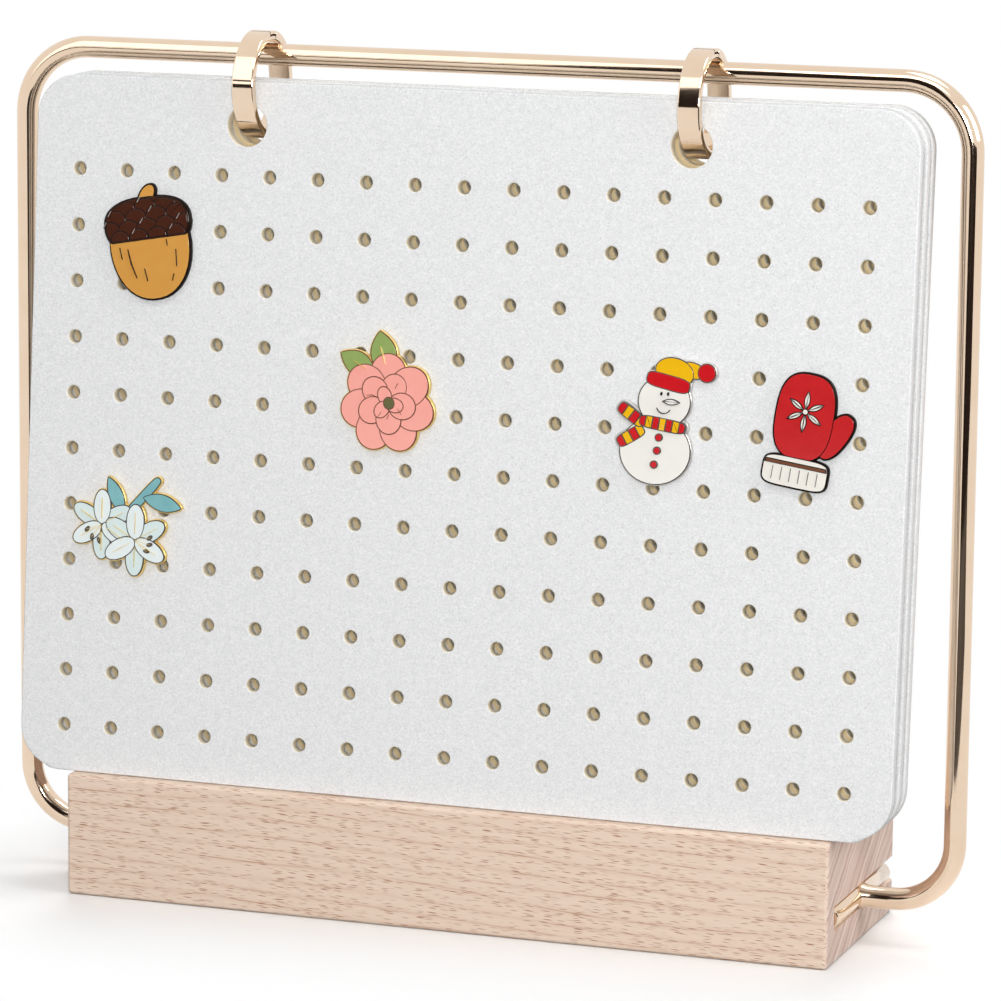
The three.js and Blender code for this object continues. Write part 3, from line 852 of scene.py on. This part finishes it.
# the blossom: layered pink petals with fine toned lines, a gilt rim and two leaves
def blossomBadge():
    pink = enamel("Coral", "#ffb2a6", "#fba89b")
    olive = enamel("Leaf", "#9bb26a", "#8ea65f")
    heart = enamel("Heart", "#7d7a50", "#5b5a3a")
    x, y = 0.5, -2.2
    outer = wheel(7, x, y, 6.6, 4.8, 4.3)
    leaves = [leaf(-0.8, 9.2, 5.2, 3, 102), leaf(-7, 6.6, 4.8, 2.6, 152)]
    pads = [(outline, olive) for outline in leaves]
    pads += [(outline, pink) for outline in outer]
    pads += [(outline, pink) for outline in wheel(5, x - 0.2, y + 0.1, 3.9, 3.5, 3.2, 64)]
    pads += [(outline, pink) for outline in wheel(3, x, y, 1.9, 2.3, 1.8, 110)]
    pads += [(oval(x + 0.5, y + 0.1, 1.45, 1.55, 20), heart)]
    creases = (((-4.6, -0.6), (-3.2, -0.4), (-2, -0.8)), ((-1.6, -5.4), (-0.8, -4.2)),
               ((0.6, -5.8), (1.1, -4.7)), ((3.2, -3.2), (4.2, -4.6)), ((2.4, 1.4), (3, 2.6)))
    veins = (((-0.4, 6.8), (-1, 9), (-1.6, 10.8)), ((-5, 5.6), (-8, 7.2)))
    lines = [(line, 0.2, brassLine) for line in creases]
    lines += [(line, 0.22, brassStruck) for line in veins]
    return makeBadge("blossomBadgePlate", (6.6, 3.66), 0, brassStruck, brassLine, leaves + outer, pads, lines)


# the spray: two pale lilies with brown anthers, teal stem and leaves, a gilt backing
def sprayBadge():
    pale = enamel("Ice", "#eef5f5", "#e2eff0")
    shade = enamel("Frost", "#e2efee", "#d2e5e6")
    teal = enamel("Teal", "#86c0c4", "#6baab1")
    brown = enamel("Anther", "#6f6247", "#58503c")
    stem = oval(4, 6.4, 6.4, 0.9, 48, 4)
    backing = [stem, leaf(9.2, 5.6, 4.8, 1.8, -12), leaf(-2.6, 6.6, 4.6, 1.6, 116)]
    pads = [(outline, teal) for outline in backing]
    lilies = ({"x": -6, "y": -0.4, "reach": 4.2, "petal": (3.9, 2), "anthers": (200, 232, 262)},
              {"x": 2.6, "y": -3.6, "reach": 4.3, "petal": (4, 2.1), "anthers": (-38, -12, 12)})
    lines, stamens, anthers = [], [], []
    for lily in lilies:
        x, y, reach = lily["x"], lily["y"], lily["reach"]
        petals = wheel(6, x, y, reach, *lily["petal"])
        backing += petals
        pads += [(petal, shade) for petal in petals[1::2]]
        pads += [(petal, pale) for petal in petals[0::2]]
        for turn in range(90, 450, 60):
            vein = [polar(x, y, reach * share, turn) for share in (0.35, 0.9, 1.5)]
            lines.append((vein, 0.14, brassStruck))
        for turn in lily["anthers"]:
            tip = polar(x, y, 3.9, turn)
            stamens.append(([(x, y), tip], 0.16, brassStruck))
            anthers.append((oval(*tip, 0.85, 0.5, turn + 30), brown))
    return makeBadge("sprayBadgePlate", (1.25, 6.29), 0, brassStruck, greyLine, backing,
                     pads + anthers, lines + stamens)


# the snowman: white body, yellow cap with a red band, striped scarf, line face
def snowmanBadge():
    white = enamel("Snow", "#f6f4ee", "#efece4")
    red = enamel("Red", "#d81f26", "#c4161f")
    yellow = enamel("Yellow", "#f6c21c", "#efb40f")
    body = oval(-2.2, -7.2, 8.2, 7.4)
    head = oval(-0.4, 4.2, 6, 5.6)
    # the knitted strips, scarf and two tails: x, y, half length, turn, stripes
    knits = ((-0.6, -1, 5.6, -8, 7), (-8, 0.8, 3.6, -34, 4), (-8, -4, 3.6, 32, 4))
    strips = [oval(x, y, half, 1.5, turn, 4) for x, y, half, turn, count in knits]
    band = oval(0.4, 8.6, 5, 1.5, -12, 4)
    hat = oval(1.8, 11, 4.4, 3, -12)
    tip = oval(6, 11.6, 3, 1.6, -14)
    bobble = oval(9.4, 11.2, 1.9, 1.9)
    pads = [(body, white), (head, white), (tip, yellow), (hat, yellow), (band, red), (bobble, red)]
    for strip, (x, y, half, turn, count) in reversed(list(zip(strips, knits))):
        for k, stripe in enumerate(slices(strip, x, y, turn, count, 2 * half)):
            pads.append((stripe, red if k % 2 == 0 else yellow))
    pads += [(oval(x, y, 0.95, 0.95), red) for x, y in ((-1.3, -4), (-1.6, -7), (-2.2, -10.2))]
    pads += [(leaf(1.3, 4.2, 2.2, 0.75, -2), white)]
    lines = [(curveLine(-0.4, 3.2, 1.7, 195, 335), 0.2, greyLine)]
    for x in (-1.1, 0.5):
        lines.append(([(x, 5.6), (x + 0.03, 6), (x + 0.1, 6.4)], 0.5, blackNickel))
    return makeBadge("snowmanBadgePlate", (12.24, 3.8), 0, silverStruck, greyLine,
                     [body, head, *strips, band, hat, tip, bobble], pads, lines)


# the mitten: red hand and thumb with a white frost star, white ribbed cuff edged in brown
def mittenBadge():
    red = enamel("MittenRed", "#cf2a2c", "#bd2025")
    white = enamel("CuffWhite", "#f4f1ea", "#ece7dd")
    brown = enamel("CuffBrown", "#7a4a2e", "#6b3f27")
    hand = oval(-1, 3.4, 6.6, 9.6, 0, 2.8)
    thumb = oval(6.8, 0.4, 2.6, 5.6, -28, 2.4)
    cuff = oval(-1, -9.4, 7.4, 3.2, 0, 5)
    pads = [(thumb, red), (hand, red), (cuff, white)]
    pads += [(leaf(*polar(-1, 4.6, 2.6, turn), 2.2, 0.75, turn), white) for turn in range(30, 390, 60)]
    pads += [(oval(-1, 4.6, 0.8, 0.8), white)]
    pads += [(clip(clip(cuff, 0, -8.1, 0), 0, -7.1, 180), brown)]
    lines = [([(x, -11.6), (x, -8.6)], 0.24, blackNickel) for x in (-6.2, -4.1, -2, 0.1, 2.2, 4.3)]
    return makeBadge("mittenBadgePlate", (15, 3.86), -8, blackNickel, blackNickel, [hand, thumb, cuff],
                     pads, lines)


makers = {"acorn": acornBadge, "blossom": blossomBadge, "spray": sprayBadge, "snowman": snowmanBadge,
          "mitten": mittenBadge}
for word, maker in makers.items():
    plate = maker()
    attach(plate, word + "_badge")
    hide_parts(word + "_badge_plate")
print("badges made")

# carried-over CAD nodes get their finish here
carried = {"_badge_post": nickelDrawn, "_badge_clutch": rubber, "_ring_hinge_pin": champagneGold}
for nodeName, node in nodes.items():
    for ending, finish in carried.items():
        if nodeName.endswith(ending):
            node.data.materials.clear()
            node.data.materials.append(finish)
            smoothMesh(node.data, 50)


# studio, in metres: pale floor, white surround, six softboxes and dark flags that only reflections see
studio = {"skyDiffuse": 0.18, "floorColour": "#fbfbfb", "floorBounce": "#868380", "floorSize": 8.0,
          "fadeStart": 0.002, "fadeEnd": 0.07, "flagColour": "#1a0d06", "aim": (0, 0, 0.1)}


def whiteForEye(tree):
    # 1 for what the eye sees straight, mirrored or through a clear piece, 0 for light that falls on things
    path = addNode(tree, "LightPath")
    first = addNode(tree, "Math",
                    {0: path.outputs["Is Camera Ray"], 1: path.outputs["Is Glossy Ray"]},
                    operation="MAXIMUM")
    return addNode(tree, "Math", {0: first, 1: path.outputs["Is Transmission Ray"]}, operation="MAXIMUM")


def makeFloor():
    half = studio["floorSize"] / 2 / mm
    points = [(-half, -half, 0), (half, -half, 0), (half, half, 0), (-half, half, 0)]
    material, tree, shader = startMaterial("paperSweepMatt", {"Roughness": 0.9})
    seen = whiteForEye(tree)
    colour = blendColours(tree, seen, linear(studio["floorBounce"]), linear(studio["floorColour"]))
    tree.links.new(colour, shader.inputs["Base Color"])
    glow = addNode(tree, "Emission", {"Strength": 1.0})
    place = addNode(tree, "TexCoord").outputs["Object"]
    # distance from the block's footprint: the shadow beside the block stays, the rest fades to white
    mirrored = addNode(tree, "VectorMath", {0: place}, operation="ABSOLUTE")
    corner = (block["length"] / 2 * mm, block["depth"] / 2 * mm, 0)
    past = addNode(tree, "VectorMath", {0: mirrored, 1: corner}, operation="SUBTRACT")
    outside = addNode(tree, "VectorMath", {0: past}, operation="MAXIMUM")
    away = addNode(tree, "VectorMath", {0: outside}, operation="LENGTH")
    fade = addNode(tree, "MapRange",
                   {0: away.outputs["Value"], 1: studio["fadeStart"], 2: studio["fadeEnd"]},
                   interpolation_type="SMOOTHSTEP")
    share = addNode(tree, "Math", {0: fade, 1: seen}, operation="MULTIPLY")
    mix = addNode(tree, "MixShader", {0: share, 1: shader, 2: glow})
    output = next(n for n in tree.nodes if n.type == "OUTPUT_MATERIAL")
    tree.links.new(mix.outputs[0], output.inputs["Surface"])
    floor = makePiece("floor", points, [(0, 1, 2, 3)], [material])


def makeWorld():
    world = bpy.data.worlds.new("studioSurround")
    bpy.context.scene.world = world
    world.use_nodes = True
    tree = world.node_tree
    tree.nodes.clear()
    strength = addNode(tree, "MapRange", {0: whiteForEye(tree), 3: studio["skyDiffuse"], 4: 1.0})
    sky = addNode(tree, "Background", {"Color": (1, 1, 1, 1), "Strength": strength})
    addNode(tree, "OutputWorld", {"Surface": sky})


def makeLamp(name, where, size, watts, mirrored=True):
    data = bpy.data.lights.new(name, "AREA")
    data.shape = "RECTANGLE"
    data.size, data.size_y = size
    data.energy = watts
    lamp = bpy.data.objects.new(name, data)
    bpy.context.scene.collection.objects.link(lamp)
    lamp.visible_camera = False
    lamp.visible_glossy = mirrored
    lamp.location = where
    towards = Vector(studio["aim"]) - Vector(where)
    lamp.rotation_euler = towards.to_track_quat("-Z", "Y").to_euler()


def makeFlag(name, corners):
    sockets = {"Base Color": linear(studio["flagColour"]), "Roughness": 1.0}
    material = startMaterial("clothFlagBlack", sockets)[0]
    flag = makePiece(name, [Vector(corner) / mm for corner in corners], [(0, 1, 2, 3)], [material])
    flag.visible_camera = False
    flag.visible_diffuse = False
    flag.visible_shadow = False
    flag.visible_transmission = False


makeFloor()
makeWorld()
makeLamp("frontSoftbox", (0.42, -1.15, 0.35), (0.3, 0.3), 8.5)
makeLamp("leftSoftbox", (-0.81, -1.29, 1.05), (0.9, 1.7), 4)
makeLamp("rightSoftbox", (1.0, -0.1, 0.6), (0.6, 0.6), 4.8)
makeLamp("overSoftbox", (0.1, -0.5, 0.75), (0.5, 0.3), 1.0)
makeLamp("backSoftbox", (-0.35, 1.1, 0.7), (0.8, 0.8), 13, mirrored=False)
makeLamp("topSoftbox", (0.3, 0.2, 1.7), (0.8, 0.8), 5)
standingFlags = {"frontFlag": (-0.44, 0.25, -1.3, 0.1, 1.2), "lowFlag": (-0.9, -0.44, -1.4, 0.1, 0.3),
                 "thinFlag": (-0.9, -0.44, -1.4, 0.42, 0.52), "cameraSideFlag": (0, 0.8, -0.5, 0.002, 0.2)}
for name, (left, right, y, low, high) in standingFlags.items():
    makeFlag(name, ((left, y, low), (right, y, low), (right, y, high), (left, y, high)))
makeFlag("floorFlag", ((0.02, -0.5, 0.002), (0.6, -0.5, 0.002), (0.4, -0.16, 0.002), (0.06, -0.16, 0.002)))
bpy.context.scene.view_settings.view_transform = "Standard"
print("studio set")
